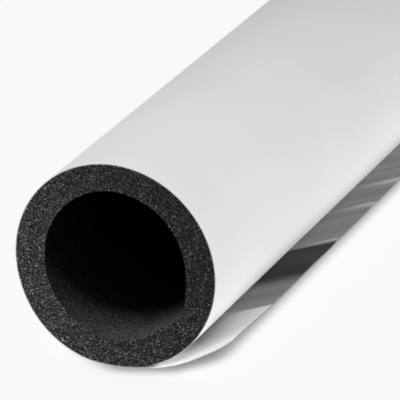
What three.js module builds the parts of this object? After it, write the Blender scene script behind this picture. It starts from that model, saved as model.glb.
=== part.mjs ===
// One length of pipe lagging: a slit tube of closed-cell foam, wrapped in a bonded cladding sheet
// whose free edge runs on past the slit as an adhesive lap, still covered by its release film.
// Millimetres, +Z up. The tube lies along Y, with the lap on its +X side near the floor.
import * as THREE from 'three';

// Tube: the bore is the outside diameter of the pipe it covers.
const tubeLength = 1000;
const pipeBore = 70;
const foamWall = 13;
const slitGap = 0.4;
const slitAngle = 10; // degrees from straight down towards the lap side

// Sheets
const claddingThickness = 0.4;
const filmThickness = 0.15;
const glueLine = 0.15; // between foam and cladding, and between lap and film

// Lap: it leaves the slit a little lower than the tangent, curls up and then runs straight.
const lapWidth = 50;
const lapLift = 7.3; // degrees
const lapCurlRadius = 66;
const lapCurlLength = 32;
const lapClearance = 0.3; // between the lap and the cladding's other edge
const filmSetback = 53; // bare stretch of the lap at the near end
const filmMargin = 8; // bare strip of the lap beside the slit

// Faceting of the round sections
const facets = 96;
const lapSteps = 24;

const foamInnerRadius = pipeBore / 2;
const foamOuterRadius = foamInnerRadius + foamWall;
const claddingInnerRadius = foamOuterRadius + glueLine;
const claddingOuterRadius = claddingInnerRadius + claddingThickness;

const radians = THREE.MathUtils.degToRad;
const fullTurn = 2 * Math.PI;

// The sections are drawn as seen from the near end. Angles run from straight down towards the lap.
function onCircle(radius, angle) {
  return new THREE.Vector2(radius * Math.sin(angle), -radius * Math.cos(angle));
}

// Points of an arc on a grid of equal facets, with one facet centred on straight down.
function arcPoints(radius, from, to) {
  const step = fullTurn / facets;
  const angles = [from];
  for (let i = Math.ceil(from / step); (i + 0.5) * step < to; i += 1) {
    angles.push((i + 0.5) * step);
  }
  angles.push(to);
  return angles.map((angle) => onCircle(radius, angle));
}

// The angle at which the slit's wall on the given side (-1 or 1) meets a circle.
function slitEdge(radius, side) {
  return radians(slitAngle) + side * Math.asin(slitGap / 2 / radius);
}

// A point of the lap: distance out from the slit along its middle, and offset towards the tube.
function lapPoint(distance, offset) {
  const middle = (claddingInnerRadius + claddingOuterRadius) / 2;
  const start = slitEdge(middle, -1);
  const heading = start - radians(lapLift);
  const curl = Math.min(distance, lapCurlLength) / lapCurlRadius;
  const straight = Math.max(distance - lapCurlLength, 0);
  const end = heading + curl;
  const point = onCircle(middle, start);
  point.x += lapCurlRadius * (Math.sin(end) - Math.sin(heading)) + straight * Math.cos(end);
  point.y += lapCurlRadius * (Math.cos(heading) - Math.cos(end)) + straight * Math.sin(end);
  point.x -= offset * Math.sin(end);
  point.y += offset * Math.cos(end);
  return point;
}

function lapPoints(from, offset) {
  const points = [];
  for (let i = 0; i <= lapSteps; i += 1) {
    points.push(lapPoint(from + ((lapWidth - from) * i) / lapSteps, offset));
  }
  return points;
}

// The cladding's other edge starts where the lap under it has cleared its outer face.
function claddingStart() {
  const reach = claddingOuterRadius + lapClearance;
  const clear = lapPoints(0, claddingThickness / 2).find((point) => point.length() > reach);
  return Math.max(Math.atan2(clear.x, -clear.y), slitEdge(foamOuterRadius, 1));
}

// Extrude a section along Y from the given distance behind the near end to the far end.
function extrudeAlong(outline, setback) {
  const depth = tubeLength - setback;
  const geometry = new THREE.ExtrudeGeometry(new THREE.Shape(outline), { depth, bevelEnabled: false });
  geometry.rotateX(Math.PI / 2);
  geometry.translate(0, tubeLength, 0);
  return geometry;
}

function piece(name, geometry, material) {
  const mesh = new THREE.Mesh(geometry, material);
  mesh.name = name;
  return mesh;
}

function foamTube() {
  const outer = arcPoints(
    foamOuterRadius,
    slitEdge(foamOuterRadius, 1),
    fullTurn + slitEdge(foamOuterRadius, -1),
  );
  const inner = arcPoints(
    foamInnerRadius,
    slitEdge(foamInnerRadius, 1),
    fullTurn + slitEdge(foamInnerRadius, -1),
  );
  const foam = new THREE.MeshStandardMaterial({ color: 0x34353a, roughness: 0.95, metalness: 0 });
  return piece('foam_tube', extrudeAlong([...outer, ...inner.reverse()], 0), foam);
}

function claddingJacket() {
  const start = claddingStart();
  const outerEnd = fullTurn + slitEdge(claddingOuterRadius, -1);
  const innerEnd = fullTurn + slitEdge(claddingInnerRadius, -1);
  const outer = [
    ...arcPoints(claddingOuterRadius, start, outerEnd),
    ...lapPoints(0, -claddingThickness / 2).slice(1),
  ];
  const inner = [
    ...arcPoints(claddingInnerRadius, start, innerEnd),
    ...lapPoints(0, claddingThickness / 2).slice(1),
  ];
  const sheet = new THREE.MeshStandardMaterial({ color: 0xdcdddf, roughness: 0.6, metalness: 0 });
  return piece('cladding_jacket', extrudeAlong([...outer, ...inner.reverse()], 0), sheet);
}

function releaseFilm() {
  const seat = claddingThickness / 2 + glueLine;
  const outline = [
    ...lapPoints(filmMargin, seat),
    ...lapPoints(filmMargin, seat + filmThickness).reverse(),
  ];
  const film = new THREE.MeshStandardMaterial({ color: 0x7b7c7f, roughness: 0.25, metalness: 0 });
  return piece('release_film', extrudeAlong(outline, filmSetback), film);
}

const lagging = new THREE.Group();
lagging.add(foamTube(), claddingJacket(), releaseFilm());

// The origin is the middle of the underside of the whole piece.
const box = new THREE.Box3().setFromObject(lagging);
const centre = box.getCenter(new THREE.Vector3());
lagging.position.set(-centre.x, -centre.y, -box.min.z);

export default lagging;
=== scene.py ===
"""Looks of a length of pipe lagging: a slit foam tube in a bonded cladding sheet with an open lap.

The tube lies along Y. Sections are drawn as seen from the near end: angles run from straight
down towards the lap, which is on the +X side. Everything is in metres.
"""

import math

import bmesh
import bpy
import numpy as np
from mathutils import Matrix, Vector, noise


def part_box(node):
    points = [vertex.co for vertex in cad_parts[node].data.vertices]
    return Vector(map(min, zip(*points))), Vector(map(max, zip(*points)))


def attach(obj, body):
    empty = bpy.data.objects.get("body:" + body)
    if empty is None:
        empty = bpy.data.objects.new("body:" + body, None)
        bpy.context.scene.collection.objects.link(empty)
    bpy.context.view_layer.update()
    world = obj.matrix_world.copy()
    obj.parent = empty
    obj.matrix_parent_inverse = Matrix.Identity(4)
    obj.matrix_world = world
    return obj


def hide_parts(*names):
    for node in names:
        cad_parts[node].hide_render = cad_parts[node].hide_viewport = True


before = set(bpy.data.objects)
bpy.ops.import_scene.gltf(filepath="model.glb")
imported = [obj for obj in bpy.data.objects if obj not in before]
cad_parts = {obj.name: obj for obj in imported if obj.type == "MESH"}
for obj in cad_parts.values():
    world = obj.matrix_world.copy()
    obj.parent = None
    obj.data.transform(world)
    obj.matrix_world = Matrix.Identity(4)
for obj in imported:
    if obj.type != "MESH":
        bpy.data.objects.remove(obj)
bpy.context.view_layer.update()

# Sizes that the solids were made to
BORE_RADIUS = 0.035
FOAM_WALL = 0.013
CLADDING = 0.0004
FILM = 0.00015
GLUE_LINE = 0.00015
SLIT = math.radians(10)
LAP_WIDTH = 0.050
FILM_START = 0.053

# Here the slit is nearly shut, and the film starts a little farther out from it.
SLIT_GAP = 0.00008
FILM_MARGIN = 0.009

FOAM_RADIUS = BORE_RADIUS + FOAM_WALL
CLADDING_MIDDLE = FOAM_RADIUS + GLUE_LINE + CLADDING / 2

foam_low, foam_high = (Vector(corner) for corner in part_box("foam_tube"))
AXIS_X = (foam_low.x + foam_high.x) / 2
AXIS_Z = (foam_low.z + foam_high.z) / 2
NEAR = foam_low.y
FAR = foam_high.y
LENGTH = FAR - NEAR

RANDOM = np.random.default_rng(7)


def smooth(value, low, high):
    """0 below low, 1 above high and a smooth step between."""
    t = np.clip((value - low) / (high - low), 0, 1)
    return t * t * (3 - 2 * t)


def section_point(x, z):
    """A point of the section, from its place relative to the tube's axis."""
    return x + AXIS_X, z + AXIS_Z


# Meshes


def block_solid(name, points, guide=None):
    """A closed body from a block of points [layer, row, column, 3]; only its six sides have faces.

    The faces' material index is 0 on the first layer, 1 on the last, 2 on the row ends and 3 on
    the column ends. The guide, one value triple for each point, is kept as an attribute.
    """
    layers, rows, columns, _ = points.shape
    shell = np.zeros((layers, rows, columns), bool)
    shell[[0, -1]] = shell[:, [0, -1]] = shell[:, :, [0, -1]] = True
    index = np.full(shell.shape, -1)
    index[shell] = np.arange(shell.sum())
    faces = []
    kinds = []
    sides = ((index[0], 0), (index[-1], 1), (index[:, 0], 2), (index[:, -1], 2))
    sides += ((index[:, :, 0], 3), (index[:, :, -1], 3))
    for side, kind in sides:
        quads = np.stack([side[:-1, :-1], side[1:, :-1], side[1:, 1:], side[:-1, 1:]], axis=-1)
        faces.append(quads.reshape(-1, 4))
        kinds.append(np.full(len(faces[-1]), kind))
    mesh = bpy.data.meshes.new(name)
    mesh.from_pydata(points[shell].tolist(), [], np.concatenate(faces).tolist())
    mesh.polygons.foreach_set("material_index", np.concatenate(kinds))
    if guide is not None:
        layer = mesh.attributes.new("guide", "FLOAT_VECTOR", "POINT")
        layer.data.foreach_set("vector", guide[shell].ravel().astype(np.float32))
    work = bmesh.new()
    work.from_mesh(mesh)
    bmesh.ops.recalc_face_normals(work, faces=work.faces)
    work.to_mesh(mesh)
    work.free()
    mesh.polygons.foreach_set("use_smooth", np.ones(len(mesh.polygons), bool))
    mesh.set_sharp_from_angle(angle=math.radians(40))
    obj = bpy.data.objects.new(name, mesh)
    bpy.context.scene.collection.objects.link(obj)
    return obj


def row_places(fine_length, fine_step, coarse_step):
    """Places along the tube from 0 to LENGTH: fine near the near end and coarse behind."""
    fine = np.arange(0, fine_length, fine_step)
    count = math.ceil((LENGTH - fine_length) / coarse_step)
    return np.concatenate([fine, np.linspace(fine_length, LENGTH, count + 1)])


def noise_field(places, size, seed):
    """Smooth noise of about -1 to 1 with blobs of the given size, one value for each place."""
    shift = Vector((seed * 13.7, seed * 5.1, seed * 9.3))
    flat = places.reshape(-1, 3)
    values = [noise.noise(Vector(place) / size + shift) for place in flat]
    return np.array(values).reshape(places.shape[:-1])


# Foam tube

BORE_OVAL = 0.02  # the bore stands a little higher than wide
BORE_CORNER = 0.062  # and has a soft corner where the tube was folded flat
BORE_CORNER_ANGLE = math.radians(62)
BORE_CORNER_SPREAD = math.radians(13)
BORE_FLAT = 0.032  # with a flatter stretch beside that corner
BORE_FLAT_ANGLE = math.radians(27)
BORE_FLAT_SPREAD = math.radians(16)
OVAL_END = 0.1  # from here the bore gets rounder
ROUND_START = 0.6  # and from here it is round
BORE_SIDE = 1.6 * math.pi  # past this angle the bore's angles are counted from below zero
CELL_RELIEF = 0.00022
CELL_SIZE = 0.0011
RIM_RELIEF = 0.0002
BULGE = 0.0010  # the cut near end swells a little towards the side away from the lap
BULGE_ANGLE = math.radians(-35)
BULGE_SPREAD = math.radians(34)
BULGE_FADE = 0.3  # it fades out over this angle beside straight down
BULGE_LENGTH = 0.05


def bore_radius(angle, place):
    """The bore's radius at an angle, a little out of round near the near end."""
    corner = BORE_CORNER * np.exp(-(((angle - BORE_CORNER_ANGLE) / BORE_CORNER_SPREAD) ** 2))
    flat = BORE_FLAT * np.exp(-(((angle - BORE_FLAT_ANGLE) / BORE_FLAT_SPREAD) ** 2))
    shape = -BORE_OVAL * np.cos(2 * (angle - math.pi / 2)) + corner - flat
    return BORE_RADIUS * (1 + shape * (1 - smooth(place, OVAL_END, ROUND_START)))


def bulge(angle, place):
    """How far the outside stands out at an angle near the near end."""
    turned = (angle + math.pi) % (2 * math.pi) - math.pi
    swell = np.exp(-(((turned - BULGE_ANGLE) / BULGE_SPREAD) ** 2))
    swell = swell * smooth(-turned, 0, BULGE_FADE)
    return BULGE * swell * (1 - smooth(place, 0, BULGE_LENGTH))


def foam_tube():
    """The tube with cut cells on its end faces, slit along its length."""
    layers, columns = 30, 480
    rows = row_places(fine_length=0.1, fine_step=0.01, coarse_step=0.045)
    half_gap = SLIT_GAP / 2 / BORE_RADIUS
    angle = np.linspace(SLIT + half_gap, SLIT + 2 * math.pi - half_gap, columns)
    depth = np.linspace(0, 1, layers)
    depth, place, angle = np.meshgrid(depth, rows, angle, indexing="ij")
    inner = bore_radius(np.where(angle > BORE_SIDE, angle - 2 * math.pi, angle), place)
    outer = FOAM_RADIUS + bulge(angle, place)
    radius = outer + (inner - outer) * depth
    x, z = section_point(radius * np.sin(angle), -radius * np.cos(angle))
    points = np.stack([x, place + NEAR, z], axis=-1)
    for end, inward in ((0, 1), (-1, -1)):
        cells = noise_field(points[:, end], CELL_SIZE, seed=3 + end)
        points[:, end, :, 1] += inward * CELL_RELIEF * (1 + cells)
    ragged = RIM_RELIEF * noise_field(points[-1, [0, -1]], CELL_SIZE, seed=8)
    points[-1, [0, -1], :, 2] += ragged
    return block_solid("foam", points)


# Cladding sheet and release film

CORNER_RADIUS = 0.008
END_TRIM = 0.0003  # the sheet stops just short of the foam's cut faces
# Lap section at the near end, where it is bare, and behind, where the film holds it flatter:
# first heading, last heading and length of the curl between them.
BARE_LAP = (math.radians(2.7), math.radians(30.7), 0.032)
BACKED_LAP = (math.radians(8.5), math.radians(22.5), 0.014)
BARE_END = 0.004  # the section changes from the first to the second between these places
BACKED_START = 0.056
SEAM_CLEARANCE = 0.00005  # between the lap and the sheet's other edge over it
WRAP_COLUMNS = 150
FLAT_COLUMNS = 26
CORNER_COLUMNS = 9
# Buckles across the film: place along the tube at the lap's outer edge, height and half width.
FIRST_BUCKLES = ((0.135, 0.0011, 0.0022), (0.184, 0.0010, 0.0032), (0.218, 0.0010, 0.0038))
BUCKLE_SLANT = 0.12
MOST_BUCKLES = 16
# The later ones are drawn at random from these ranges, up to a little before the far end.
BUCKLE_STEP = (0.034, 0.062)
BUCKLE_TOP = (0.0006, 0.0012)
BUCKLE_WIDTH = (0.002, 0.0035)
LAST_BUCKLE = 0.08
BUCKLE_INNER = 0.25  # share of its height that a buckle keeps near the slit
BUCKLE_RISE = 0.015  # it grows outwards from this distance
LAP_SHARE = 0.35  # shares of a buckle's height that the lap and the film over it rise
FILM_SHARE = 0.75
CREST_WIDTH = 1.1  # of the buckle's half width
CREST_SHIFT = 0.2  # and this much of it behind the buckle's middle
CREST_INNER = 0.12  # share of its light that a crest keeps near the slit
CREST_RISE = 0.026


def lap_section(distance, offset, shape):
    """Section points of the lap, by distance out from the slit and offset towards the tube."""
    heading, last, curl = shape
    radius = curl / (last - heading)
    end = heading + np.minimum(distance, curl) / radius
    straight = np.maximum(distance - curl, 0)
    x = CLADDING_MIDDLE * math.sin(SLIT) + radius * (np.sin(end) - math.sin(heading))
    z = -CLADDING_MIDDLE * math.cos(SLIT) + radius * (math.cos(heading) - np.cos(end))
    x = x + straight * np.cos(end) - offset * np.sin(end)
    z = z + straight * np.sin(end) + offset * np.cos(end)
    return x, z


def buckles():
    """All buckles from the near end to the far end."""
    found = list(FIRST_BUCKLES)
    place = found[-1][0]
    while place < LENGTH - LAST_BUCKLE and len(found) < MOST_BUCKLES:
        place += RANDOM.uniform(*BUCKLE_STEP)
        found.append((place, RANDOM.uniform(*BUCKLE_TOP), RANDOM.uniform(*BUCKLE_WIDTH)))
    return found


BUCKLES = buckles()


def buckle_height(distance, place):
    """How far the lap and film stand up at the buckles, most at the lap's outer edge."""
    height = np.zeros(np.broadcast(distance, place).shape)
    for middle, top, width in BUCKLES:
        across = place - middle - BUCKLE_SLANT * (LAP_WIDTH - distance)
        height += top * np.exp(-((across / width) ** 2))
    return height * (BUCKLE_INNER + (1 - BUCKLE_INNER) * smooth(distance, BUCKLE_RISE, LAP_WIDTH))


def crests(distance, place):
    """1 on the crests of the buckles, painted lighter in place of glints, fading inwards."""
    crest = np.zeros(np.broadcast(distance, place).shape)
    for middle, _, width in BUCKLES:
        across = place - middle - BUCKLE_SLANT * (LAP_WIDTH - distance) - CREST_SHIFT * width
        crest += np.exp(-((across / (CREST_WIDTH * width)) ** 2))
    return crest * (CREST_INNER + (1 - CREST_INNER) * smooth(distance, CREST_RISE, LAP_WIDTH))


def lap_surface(distance, place, offset):
    """Points of the lap, from the bare near end to the flatter stretch under the film."""
    backed = smooth(place, BARE_END, BACKED_START)
    bare_x, bare_z = lap_section(distance, offset, BARE_LAP)
    backed_x, backed_z = lap_section(distance, offset, BACKED_LAP)
    x = bare_x + (backed_x - bare_x) * backed
    z = bare_z + (backed_z - bare_z) * backed
    return x, z


def cladding_start():
    """The angle where the sheet's other edge lies, clear of the lap over it."""
    distance = np.linspace(0, 0.03, 400)
    x, z = lap_section(distance, CLADDING / 2, BACKED_LAP)
    clear = np.hypot(x, z) > CLADDING_MIDDLE + CLADDING / 2 + SEAM_CLEARANCE
    first = int(np.argmax(clear))
    return math.atan2(x[first], -z[first])


def rounded_ends(distance, rows):
    """Places of the rows at each distance out, with the lap's outer corners rounded off."""
    into = np.clip(distance - (LAP_WIDTH - CORNER_RADIUS), 0, CORNER_RADIUS)
    trim = END_TRIM + CORNER_RADIUS - np.sqrt(CORNER_RADIUS**2 - into**2)
    return trim + rows * (1 - 2 * trim / LENGTH)


def cladding_sheet():
    """One sheet: round the foam from its edge beside the slit, past the slit and out as the lap."""
    wrap = np.linspace(cladding_start(), SLIT + 2 * math.pi, WRAP_COLUMNS)
    flat = np.linspace(0, LAP_WIDTH - CORNER_RADIUS, FLAT_COLUMNS)[1:]
    turn = np.linspace(0, math.pi / 2, CORNER_COLUMNS)
    corner = LAP_WIDTH - CORNER_RADIUS + CORNER_RADIUS * np.sin(turn)[1:]
    lap = np.concatenate([flat, corner])
    rows = row_places(fine_length=0.27, fine_step=0.0025, coarse_step=0.0075)
    offsets = (-CLADDING / 2, CLADDING / 2)
    layers = []
    guides = []
    for offset in offsets:
        angle, place = np.meshgrid(wrap, rows)
        place = END_TRIM + place * (1 - 2 * END_TRIM / LENGTH)
        radius = CLADDING_MIDDLE - offset + bulge(angle, place)
        wrap_x, wrap_z = radius * np.sin(angle), -radius * np.cos(angle)
        around = CLADDING_MIDDLE * angle
        distance, lap_rows = np.meshgrid(lap, rows)
        lap_place = rounded_ends(distance, lap_rows)
        raised = offset + LAP_SHARE * buckle_height(distance, lap_place)
        lap_x, lap_z = lap_surface(distance, lap_place, raised)
        x = np.hstack([wrap_x, lap_x])
        z = np.hstack([wrap_z, lap_z])
        y = np.hstack([place, lap_place])
        x, z = section_point(x, z)
        layers.append(np.stack([x, y + NEAR, z], axis=-1))
        around = np.hstack([around, CLADDING_MIDDLE * (SLIT + 2 * math.pi) + distance])
        guides.append(np.stack([around, y, np.full_like(y, offset)], axis=-1))
    return block_solid("cladding", np.stack(layers), np.stack(guides))


FILM_OVERHANG = 0.0006
FILM_SLANT = 0.05  # the front edge leans back this much towards the slit
FILM_PRESS = 0.00024  # and lies this much closer to the lap
PRESS_LENGTH = 0.004
EDGE_WAVE = 0.0004  # the outer edge waves in and out, over these two lengths
SHORT_WAVE = 0.011
LONG_WAVE = 0.0274
EDGE_SHARE = 0.1  # and stands out by this share of a buckle's height
RIPPLE = 0.00012
RIPPLE_LENGTH = 0.006
RIPPLE_RANGE = (0.07, 0.1)  # the ripples grow between these places along the tube
RIPPLE_CLEARANCE = 0.00013  # keeps the film's ripples off the lap
RIM_LENGTH = 0.0012
RIM_LIGHT = 0.9  # painted light on the pressed front edge of the film
RIM_FADE = 0.8  # share of the rim's light that is lost over this stretch towards the outer edge
RIM_RANGE = (0.3, 0.75)


def release_film():
    """The film on the lap's inner face, with a pressed front edge and buckles across it."""
    out = np.linspace(0, 1, 28)
    rows = row_places(fine_length=0.3, fine_step=0.0008, coarse_step=0.0015)
    out, rows = np.meshgrid(out, rows)
    start = FILM_START + FILM_SLANT * (1 - out) * LAP_WIDTH
    place = start + rows * (LENGTH - start) / LENGTH
    wave = EDGE_WAVE * np.sin(place / SHORT_WAVE) * np.sin(place / LONG_WAVE)
    edge = LAP_WIDTH + FILM_OVERHANG + wave + EDGE_SHARE * buckle_height(LAP_WIDTH, place)
    distance = FILM_MARGIN + out * (edge - FILM_MARGIN)
    press = FILM_PRESS * np.exp(-(place - start) / PRESS_LENGTH)
    ripple = RIPPLE * np.sin(place / RIPPLE_LENGTH + 3 * out) * smooth(place, *RIPPLE_RANGE)
    base = CLADDING / 2 + GLUE_LINE + RIPPLE_CLEARANCE
    raised = base + FILM_SHARE * buckle_height(distance, place) - press + ripple
    rim = RIM_LIGHT * np.exp(-(place - start) / RIM_LENGTH)
    rim = rim * (1 - RIM_FADE * smooth(out, *RIM_RANGE))
    light = np.clip(crests(distance, place) + rim, 0, 1)
    layers = []
    guides = []
    for offset in (raised + FILM, raised):
        x, z = lap_surface(distance, place, offset)
        x, z = section_point(x, z)
        layers.append(np.stack([x, place + NEAR, z], axis=-1))
        guides.append(np.stack([distance, place, light], axis=-1))
    return block_solid("film", np.stack(layers), np.stack(guides))


# Materials


class Shader:
    """A small helper that adds nodes to a material and links them."""

    def __init__(self, name):
        self.material = bpy.data.materials.new(name)
        self.material.use_nodes = True
        self.tree = self.material.node_tree
        self.surface = self.tree.nodes["Principled BSDF"]

    def add(self, kind, inputs=None, **settings):
        node = self.tree.nodes.new(kind)
        for key, value in settings.items():
            setattr(node, key, value)
        for key, value in (inputs or {}).items():
            self.put(node.inputs[key], value)
        return node

    def put(self, socket, value):
        if isinstance(value, bpy.types.NodeSocket):
            self.tree.links.new(value, socket)
        else:
            socket.default_value = value

    def set(self, **values):
        for key, value in values.items():
            self.put(self.surface.inputs[key.replace("_", " ")], value)

    def math(self, operation, first, second=0.0):
        return self.add("ShaderNodeMath", {0: first, 1: second}, operation=operation).outputs[0]

    def ramp(self, value, stops):
        node = self.add("ShaderNodeValToRGB", {"Fac": value})
        elements = node.color_ramp.elements
        while len(elements) < len(stops):
            elements.new(1)
        for element, (place, level) in zip(elements, stops):
            element.position = place
            element.color = (*level, 1) if isinstance(level, tuple) else (level, level, level, 1)
        return node.outputs["Color"]

    def mix(self, factor, first, second, blend_type="MIX"):
        node = self.add("ShaderNodeMix", data_type="RGBA", blend_type=blend_type)
        for index, value in ((0, factor), (6, first), (7, second)):
            self.put(node.inputs[index], value)
        return node.outputs[2]

    def noise(self, vector, scale, detail=2.0):
        values = {"Vector": vector, "Scale": scale, "Detail": detail}
        return self.add("ShaderNodeTexNoise", values).outputs["Fac"]

    def bump(self, height, distance, strength=1.0, normal=None):
        values = {"Height": height, "Distance": distance, "Strength": strength}
        if normal is not None:
            values["Normal"] = normal
        return self.add("ShaderNodeBump", values).outputs["Normal"]


def place_in_object(shader):
    return shader.add("ShaderNodeTexCoord").outputs["Object"]


CELL_SCALE = 2300.0
CUT_LEAN = 6.0  # painted light: the cut face darkens this much per metre, up and to the lap


def cell_shade(s, place):
    """A random value for each foam cell, and the distance from its middle."""
    cells = s.add("ShaderNodeTexVoronoi", {"Vector": place, "Scale": CELL_SCALE})
    shade = s.add("ShaderNodeSeparateColor", {"Color": cells.outputs["Color"]})
    return shade.outputs["Red"], cells.outputs["Distance"]


def cut_foam():
    """Cut closed cells: pits darkened with painted shade, thin lighter walls and painted glints."""
    s = Shader("cut_foam")
    place = place_in_object(s)
    shade, middle = cell_shade(s, place)
    # the top of this ramp paints a few cells bright as glints
    tone = s.ramp(shade, ((0, 0.011), (0.45, 0.053), (0.85, 0.166), (0.96, 0.32), (1, 0.82)))
    large = s.add("ShaderNodeTexVoronoi", {"Vector": place, "Scale": 1300.0})
    # painted shade in the larger pits
    pits = s.ramp(large.outputs["Distance"], ((0, 0.55), (0.35, 1.0), (1, 1.2)))
    cloud = s.ramp(s.noise(place, 140.0, 3.0), ((0.3, 0.88), (0.7, 1.12)))
    colour = s.mix(1.0, s.mix(1.0, tone, pits, "MULTIPLY"), cloud, "MULTIPLY")
    parts = s.add("ShaderNodeSeparateXYZ", {"Vector": place})
    across = s.math("ADD", parts.outputs["X"], parts.outputs["Z"])
    lean = s.math("MULTIPLY_ADD", across, -CUT_LEAN)
    lean.node.inputs[2].default_value = 1 + CUT_LEAN * (AXIS_X + AXIS_Z)
    lean = s.add("ShaderNodeCombineColor", {0: lean, 1: lean, 2: lean}).outputs[0]
    s.set(Base_Color=s.mix(1.0, colour, lean, "MULTIPLY"), Roughness=0.85, Specular_IOR_Level=0.2)
    s.set(Normal=s.bump(middle, 0.0004, 0.8))
    return s.material


def foam_skin():
    """The moulded skin in the bore, with a softer grain than the cut face."""
    s = Shader("foam_skin")
    place = place_in_object(s)
    shade, _ = cell_shade(s, place)
    grain = s.noise(place, 1100.0, 3.0)
    speckle = s.ramp(shade, ((0, 0.02), (0.5, 0.042), (0.9, 0.092), (1, 0.185)))
    cloud = s.ramp(grain, ((0.3, 0.75), (0.55, 1.0), (0.75, 1.35)))
    s.set(Base_Color=s.mix(1.0, speckle, cloud, "MULTIPLY"), Roughness=0.8, Specular_IOR_Level=0.05)
    s.set(Normal=s.bump(grain, 0.0003, 0.6))
    return s.material


WEAVE_PERIOD = 0.001
WRAP_END = CLADDING_MIDDLE * (SLIT + 2 * math.pi)  # distance round the sheet where the lap starts
# Tones from the slit outwards, fitted to the photograph: adhesive grey and painted shade in one.
LAP_TONES = ((0, 0.27), (0.45, 0.27), (0.75, 0.77), (1, 0.92))
LAP_TONE_DEPTH = 0.030  # the tones, and with them the painted shade, reach full strength this far behind the near end of the lap


def cladding_material(name, level, lap_tones=None):
    """Matt coated cloth: a very fine cross weave, faint clouds and fine grain."""
    s = Shader(name)
    guide = s.add("ShaderNodeAttribute", attribute_name="guide").outputs["Vector"]
    parts = s.add("ShaderNodeSeparateXYZ", {"Vector": guide})
    turn = 2 * math.pi / WEAVE_PERIOD
    warp = s.math("SINE", s.math("MULTIPLY", parts.outputs["X"], turn))
    weft = s.math("SINE", s.math("MULTIPLY", parts.outputs["Y"], turn))
    weave = s.math("MULTIPLY", warp, weft)
    place = place_in_object(s)
    cloud = s.noise(place, 22.0, 3.0)
    grain = s.noise(place, 900.0, 2.0)
    tone = s.math("MULTIPLY_ADD", weave, 0.012)
    tone.node.inputs[2].default_value = level
    tone = s.math("ADD", tone, s.math("MULTIPLY", s.math("SUBTRACT", cloud, 0.5), 0.05))
    tone = s.math("ADD", tone, s.math("MULTIPLY", s.math("SUBTRACT", grain, 0.5), 0.03))
    colour = s.add("ShaderNodeCombineColor", {0: tone, 1: tone, 2: tone}).outputs[0]
    # On the lap the tones darken the inner face towards the slit: adhesive grey and painted shade in
    # one.
    if lap_tones:
        out = s.math("SUBTRACT", parts.outputs["X"], WRAP_END)
        lap = s.ramp(s.math("DIVIDE", out, LAP_WIDTH), lap_tones)
        values = {"Value": parts.outputs["Y"], "From Min": 0.2 * LAP_TONE_DEPTH, "From Max": LAP_TONE_DEPTH}
        lap_tone_share = s.add("ShaderNodeMapRange", values, interpolation_type="SMOOTHSTEP").outputs[0]
        colour = s.mix(lap_tone_share, colour, s.mix(1.0, colour, lap, "MULTIPLY"))
    s.set(Base_Color=colour, Roughness=0.55, Specular_IOR_Level=0.4)
    coarse = s.bump(cloud, 0.0015, 0.3)
    s.set(Normal=s.bump(weave, 0.00003, 0.5, coarse))
    return s.material


def cut_edge(name, level):
    """The cut edge of a sheet or film, a little uneven in tone."""
    s = Shader(name)
    grain = s.noise(place_in_object(s), 500.0, 2.0)
    colour = s.ramp(grain, ((0.3, 0.8 * level), (0.7, 1.2 * level)))
    s.set(Base_Color=colour, Roughness=0.7, Specular_IOR_Level=0.2)
    return s.material


# A stretch of the film painted darker; what darkens it is not known.
DARK_STRETCH_START = 0.084
DARK_STRETCH_END = 0.1335
DARK_STRETCH_COLOUR = (0.016, 0.016, 0.017, 1)
# random tones of the film outside its darker stretch
BAND_TONES = ((0.35, 0.172), (0.65, 0.260))
# painted highlight on the buckles' crests and the film's pressed front edge, in place of glints
CREST_HIGHLIGHT_COLOUR = (0.5, 0.5, 0.5, 1)


def film_material():
    """Grey film, almost no gloss; a dark stretch and highlights on crests and front edge are
    painted.
    """
    s = Shader("backing_film")
    guide = s.add("ShaderNodeAttribute", attribute_name="guide").outputs["Vector"]
    parts = s.add("ShaderNodeSeparateXYZ", {"Vector": guide})
    inward = s.math("SUBTRACT", LAP_WIDTH, parts.outputs["X"])
    place = s.math("SUBTRACT", parts.outputs["Y"], s.math("MULTIPLY", inward, BUCKLE_SLANT))
    rise = s.add(
        "ShaderNodeMapRange",
        {"Value": place, "From Min": DARK_STRETCH_START - 0.008, "From Max": DARK_STRETCH_START + 0.012},
        interpolation_type="SMOOTHSTEP",
    ).outputs[0]
    fall = s.add(
        "ShaderNodeMapRange",
        {"Value": place, "From Min": DARK_STRETCH_END - 0.001, "From Max": DARK_STRETCH_END + 0.001},
    ).outputs[0]
    # the stretch of the film that is painted darker
    dark_stretch = s.math("MULTIPLY", rise, s.math("SUBTRACT", 1.0, fall))
    along = s.add("ShaderNodeCombineXYZ", {"X": place}).outputs[0]
    bands = s.math("ADD", s.noise(along, 34.0, 1.0), s.noise(along, 95.0, 1.0))
    banded = s.ramp(s.math("MULTIPLY", bands, 0.5), BAND_TONES)
    colour = s.mix(parts.outputs["Z"], s.mix(dark_stretch, banded, DARK_STRETCH_COLOUR), CREST_HIGHLIGHT_COLOUR)
    s.set(Base_Color=colour, Roughness=0.22, Specular_IOR_Level=0.01)
    streaks = s.noise(along, 420.0, 2.0)
    s.set(Normal=s.bump(streaks, 0.0001, 0.12))
    return s.material


# Pieces


def dress(piece, node, materials):
    """Gives a piece its materials, hangs it under the root body and hides the solid it stands for.
    """
    for material in materials:
        piece.data.materials.append(material)
    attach(piece, "root")
    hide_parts(node)


foam = foam_tube()
dress(foam, "foam_tube", [foam_skin(), foam_skin(), cut_foam(), cut_foam()])

cladding = cladding_sheet()
face = cladding_material("cladding_face", 0.685)
back = cladding_material("cladding_back", 0.78, LAP_TONES)
end_edge = cut_edge("cladding_end_edge", 0.3)
side_edge = cut_edge("cladding_side_edge", 0.2)
dress(cladding, "cladding_jacket", [face, back, end_edge, side_edge])

film = release_film()
film_face = film_material()
film_edge = cut_edge("film_edge", 0.3)
dress(film, "release_film", [film_face, film_face, film_edge, film_edge])

# Studio

FLOOR_SIZE = 80.0
FLOOR_DROP = 0.0004  # the floor lies this far under the part
FLOOR_COLOUR = 0.05
FLOOR_GLOW = 0.932
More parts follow.
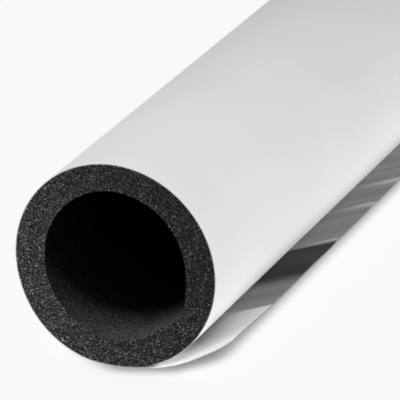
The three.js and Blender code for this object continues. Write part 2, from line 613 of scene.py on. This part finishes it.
# Straight sides of the soft shadow on the floor: the direction outwards, the distance from the
# point under the tube's axis at the near end, how fast the shadow darkens inwards from there, and
# how far the corner with the sides before it is rounded.
SHADOW_SIDES = (
    ((1.0, 0.0), 0.0477, 1.0, 0.0),
    ((0.804, -0.594), 0.0250, 0.92, 0.009),
    ((0.351, -0.936), 0.0126, 0.76, 0.003),
    ((-0.53, -0.848), 0.0113, 0.8, 0.009),
    ((-1.0, 0.0), 0.030, 1.0, 0.003),
    ((0.0, 1.0), LENGTH + 0.008, 1.0, 0.003),
)
SHADOW_DEPTH = 0.020
SHADOW_TONES = ((0, 1), (0.1, 0.985), (0.2, 0.86), (0.3, 0.66), (0.4, 0.45), (0.55, 0.28), (1, 0.05))


def floor():
    """An evenly bright floor, like a lit table, with a soft shadow painted under the pieces."""
    mesh = bpy.data.meshes.new("studio_floor")
    half = FLOOR_SIZE / 2
    corners = [(-half, -half, 0), (half, -half, 0), (half, half, 0), (-half, half, 0)]
    mesh.from_pydata(corners, [], [(0, 1, 2, 3)])
    obj = bpy.data.objects.new("studio_floor", mesh)
    obj.location.z = -FLOOR_DROP
    bpy.context.scene.collection.objects.link(obj)
    s = Shader("studio_floor")
    colour = (FLOOR_COLOUR, FLOOR_COLOUR, FLOOR_COLOUR, 1)
    s.set(Base_Color=colour, Roughness=1.0, Specular_IOR_Level=0.0)
    place = s.add("ShaderNodeSeparateXYZ", {"Vector": place_in_object(s)})
    outside = None
    for (x_part, y_part), distance, rate, corner in SHADOW_SIDES:
        along_x = s.math("MULTIPLY", place.outputs["X"], x_part * rate)
        along_y = s.math("MULTIPLY", place.outputs["Y"], y_part * rate)
        beyond = s.math("ADD", along_x, along_y)
        beyond = s.math("SUBTRACT", beyond, rate * (distance + x_part * AXIS_X + y_part * NEAR))
        if outside is None:
            outside = beyond
        else:
            outside = s.math("SMOOTH_MAX", outside, beyond)
            outside.node.inputs[2].default_value = corner
    shade = s.ramp(s.math("MULTIPLY", outside, -1 / SHADOW_DEPTH), SHADOW_TONES)
    s.set(Emission_Color=shade, Emission_Strength=FLOOR_GLOW)
    mesh.materials.append(s.material)
    return obj


# Brightness of the dome towards its right, back, top, left and front
DOME = {"right": 0.15, "back": 0.4, "top": 0.2, "left": 0.15, "front": 0.1}

# Softboxes: place, the point each faces, width, height and power in watts. The foam has boxes of
# its own, and the floor's glow leaves it out too, so that little light goes far into the bore.
AIM = (0, -0.45, 0.05)
SHEET_BOXES = {
    "sheet_front": ((-0.235, -1.325, 0.473), AIM, 0.5, 0.4, 3.9),
    "sheet_low": ((-0.492, -1.303, 0.224), AIM, 0.5, 0.4, 3.9),
    "sheet_left": ((-0.604, -0.67, 0.816), AIM, 0.25, 0.25, 2.3),
    "sheet_low_left": ((-0.866, -0.45, 0.55), AIM, 0.25, 0.25, 1.0),
    "sheet_right": ((0.557, -0.86, 0.816), AIM, 0.25, 0.25, 3.9),
    "sheet_low_right": ((0.866, -0.45, 0.55), AIM, 0.25, 0.25, 3.5),
    "sheet_under": ((0.075, -0.08, -0.445), (0, -0.08, 0.05), 0.8, 0.35, 4.1),
}
# This one stands for light bounced up by the table. Only the foam stops it: unlike real light,
# it passes the floor, the lap and the film.
BOUNCE_BOX = "sheet_under"
FOAM_BOXES = {
    "foam_key": ((-0.455, -0.905, 0.816), AIM, 0.25, 0.25, 2.9),
    "foam_left": ((-0.604, -0.67, 0.816), AIM, 0.25, 0.25, 3.4),
    "foam_top": ((0, -0.792, 0.99), AIM, 0.25, 0.25, 3.1),
}


def facing(obj, spot, target):
    """Puts a light at a spot and turns it to face the target."""
    obj.location = spot
    obj.rotation_euler = (Vector(target) - Vector(spot)).to_track_quat("-Z", "Y").to_euler()


def receivers(name, pieces):
    """A collection of the pieces that a light reaches."""
    collection = bpy.data.collections.new(name)
    for piece in pieces:
        collection.objects.link(piece)
    return collection


def lights(ground):
    """Softboxes for the sheets and for the foam; the floor's glow is for the sheets."""
    sheets = receivers("lit_sheets", (cladding, film))
    ground.light_linking.receiver_collection = sheets
    for boxes, lit in ((SHEET_BOXES, sheets), (FOAM_BOXES, receivers("lit_foam", (foam,)))):
        for name, (spot, target, width, height, power) in boxes.items():
            data = bpy.data.lights.new(name, "AREA")
            data.shape = "RECTANGLE"
            data.size = width
            data.size_y = height
            data.energy = power
            obj = bpy.data.objects.new(name, data)
            facing(obj, spot, target)
            obj.light_linking.receiver_collection = lit
            if name == BOUNCE_BOX:
                obj.light_linking.blocker_collection = receivers("bounce_blockers", (foam,))
            bpy.context.scene.collection.objects.link(obj)


def dome():
    """A soft dome of light with its own brightness on each side."""
    world = bpy.data.worlds.new("studio_dome")
    world.use_nodes = True
    bpy.context.scene.world = world
    tree = world.node_tree
    background = tree.nodes["Background"]
    background.inputs["Color"].default_value = (1, 1, 1, 1)

    def vector_math(operation, first, second):
        node = tree.nodes.new("ShaderNodeVectorMath")
        node.operation = operation
        for socket, value in zip(node.inputs, (first, second)):
            if isinstance(value, bpy.types.NodeSocket):
                tree.links.new(value, socket)
            else:
                socket.default_value = value
        return node.outputs["Value" if operation == "DOT_PRODUCT" else "Vector"]

    direction = tree.nodes.new("ShaderNodeTexCoord").outputs["Generated"]
    levels = []
    for sign, sides in ((1, ("right", "back", "top")), (-1, ("left", "front", None))):
        turned = vector_math("MULTIPLY", direction, (sign,) * 3)
        half = vector_math("MAXIMUM", turned, (0, 0, 0))
        square = vector_math("MULTIPLY", half, half)
        strengths = tuple(DOME.get(side, 0) for side in sides)
        levels.append(vector_math("DOT_PRODUCT", square, strengths))
    total = tree.nodes.new("ShaderNodeMath")
    for socket, level in zip(total.inputs, levels):
        tree.links.new(level, socket)
    tree.links.new(total.outputs[0], background.inputs["Strength"])


AZIMUTH = math.radians(22.54)
ELEVATION = math.radians(21.68)
# The camera's place from the middle of the near end, in outside radii of the tube
ASIDE = 0.784
ABOVE = 0.612
AWAY = 37.874


def camera():
    """The photograph's view: a long lens from the front right, a little above."""
    outside = CLADDING_MIDDLE + CLADDING / 2
    right = Vector((math.cos(AZIMUTH), math.sin(AZIMUTH), 0))
    back = Vector((math.sin(AZIMUTH) * math.cos(ELEVATION), 0, math.sin(ELEVATION)))
    back.y = -math.cos(AZIMUTH) * math.cos(ELEVATION)
    up = back.cross(right)
    near_centre = Vector((AXIS_X, NEAR, AXIS_Z))
    data = bpy.data.cameras.new("camera")
    data.sensor_width = 36
    data.lens = 372.1
    data.clip_end = 200
    obj = bpy.data.objects.new("camera", data)
    turn = Matrix((right, up, back)).transposed().to_4x4()
    spot = near_centre + outside * (ASIDE * right + ABOVE * up + AWAY * back)
    obj.matrix_world = Matrix.Translation(spot) @ turn
    bpy.context.scene.collection.objects.link(obj)
    bpy.context.scene.camera = obj


dome()
lights(floor())
camera()
bpy.context.scene.view_settings.view_transform = "Standard"
